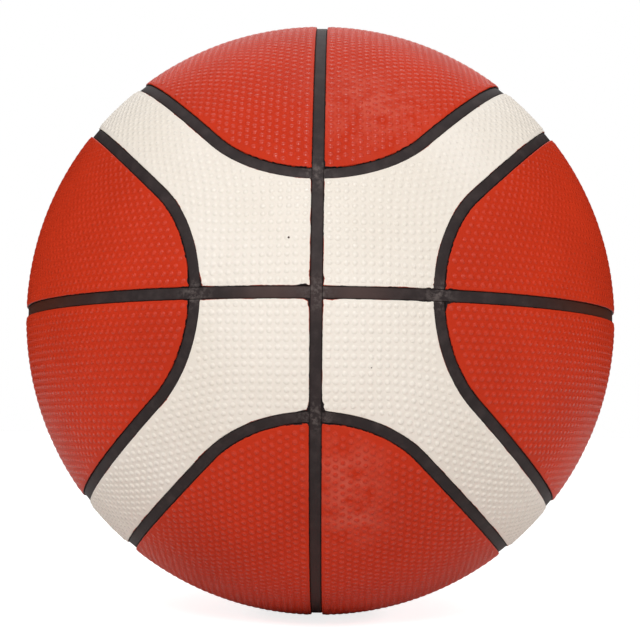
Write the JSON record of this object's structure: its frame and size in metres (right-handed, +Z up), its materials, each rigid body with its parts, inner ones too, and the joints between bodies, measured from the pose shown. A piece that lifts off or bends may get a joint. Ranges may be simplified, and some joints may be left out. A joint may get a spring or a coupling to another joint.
{
  "type": "basketball",
  "caption": "Size 7 basketball with pebbled red-orange and cream panels, black seams, wound bladder and a valve.",
  "frame": {"origin": "centre of the ball", "axes": "+Z up with the valve at the bottom, -Y towards the front crossing of the two long seams, long seams in the planes X = 0 and Z = 0"},
  "size_m": [0.242, 0.242, 0.2419],
  "materials": {
    "red_rubber": "satin",
    "cream_rubber": "satin",
    "seam_rubber": "satin",
    "butyl_rubber": "satin",
    "carcass_rubber": "matte",
    "nylon_thread": "satin",
    "valve_rubber": "satin"
  },
  "bodies": {
    "ball": {"bladder": "butyl_rubber", "valve_housing": "valve_rubber", "winding": "nylon_thread", "carcass": "carcass_rubber", "panel_cream_upper_right": "cream_rubber", "panel_cream_lower_right": "cream_rubber", "panel_cream_lower_left": "cream_rubber", "panel_cream_upper_left": "cream_rubber", "panel_red_right_upper": "red_rubber", "panel_red_right_lower": "red_rubber", "panel_red_left_upper": "red_rubber", "panel_red_left_lower": "red_rubber", "panel_red_top_right": "red_rubber", "panel_red_top_left": "red_rubber", "panel_red_bottom_right": "red_rubber", "panel_red_bottom_left": "red_rubber", "seam_vertical": "seam_rubber", "seam_horizontal_right": "seam_rubber", "seam_horizontal_left": "seam_rubber", "seam_right_oval_upper": "seam_rubber", "seam_right_oval_lower": "seam_rubber", "seam_left_oval_upper": "seam_rubber", "seam_left_oval_lower": "seam_rubber", "seam_top_oval_right": "seam_rubber", "seam_top_oval_left": "seam_rubber", "seam_bottom_oval_right": "seam_rubber", "seam_bottom_oval_left": "seam_rubber"},
    "valve_core": {"valve_core": "valve_rubber"}
  },
  "joints": [
    {"name": "valve_core_pull", "type": "slide", "parent": "ball", "child": "valve_core", "axis": [0, 0, -1], "range_m": [0, 0.016]}
  ]
}
